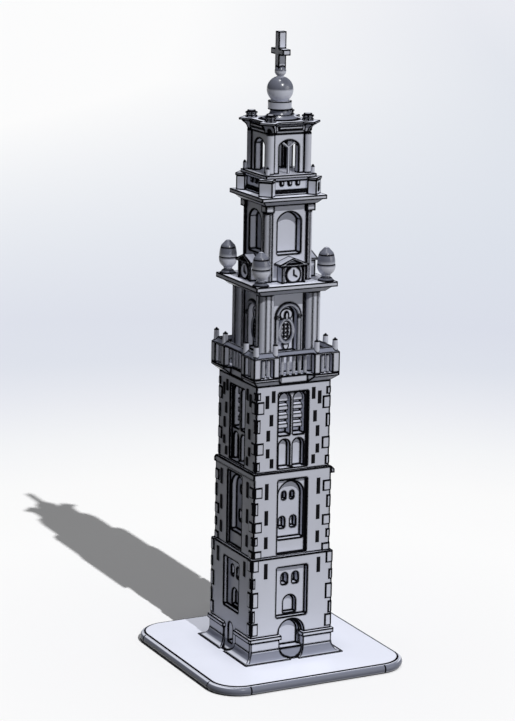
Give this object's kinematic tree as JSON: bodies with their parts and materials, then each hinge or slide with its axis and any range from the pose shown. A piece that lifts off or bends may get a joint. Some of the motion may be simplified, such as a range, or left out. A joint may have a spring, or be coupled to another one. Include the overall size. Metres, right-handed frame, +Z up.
{
  "type": "bell tower display model",
  "caption": "Display model of a tall square bell tower in diminishing stages, with a railed gallery, corner urns, clock gables, an open lantern, a ball and a cross, on a rounded plate.",
  "frame": {"origin": "centre of the underside of the base plate", "axes": "+Z up the tower, the side with the door arch faces -Y, +X to the right of that side"},
  "size_m": [0.1482, 0.1482, 0.435],
  "materials": {
    "cast_resin": "matt cast resin in one grey, with a soft sheen"
  },
  "bodies": {
    "root": {"arcade_stage": "cast_resin", "ball_ring": "cast_resin", "base_plate": "cast_resin", "belfry_stage": "cast_resin", "bell_roof": "cast_resin", "cartouche_back": "cast_resin", "cartouche_front": "cast_resin", "cartouche_left": "cast_resin", "cartouche_right": "cast_resin", "clock_house_back": "cast_resin", "clock_house_front": "cast_resin", "clock_house_left": "cast_resin", "clock_house_right": "cast_resin", "cross": "cast_resin", "crown_cornice": "cast_resin", "crown_knobs": "cast_resin", "foot_corner_1": "cast_resin", "foot_corner_2": "cast_resin", "foot_corner_3": "cast_resin", "foot_corner_4": "cast_resin", "gallery_floor": "cast_resin", "gallery_parapet": "cast_resin", "gallery_pegs": "cast_resin", "great_ball": "cast_resin", "great_cornice": "cast_resin", "ground_stage": "cast_resin", "lantern": "cast_resin", "louvres_back": "cast_resin", "louvres_front": "cast_resin", "louvres_left": "cast_resin", "louvres_right": "cast_resin", "middle_stage": "cast_resin", "pedestal": "cast_resin", "pedestal_pegs": "cast_resin", "pedestal_rail": "cast_resin", "shield_stage": "cast_resin", "small_ball": "cast_resin", "string_course": "cast_resin", "tracery_back": "cast_resin", "tracery_front": "cast_resin", "upper_cornice": "cast_resin", "urn_1": "cast_resin", "urn_2": "cast_resin", "urn_3": "cast_resin", "urn_4": "cast_resin"}
  },
  "joints": []
}
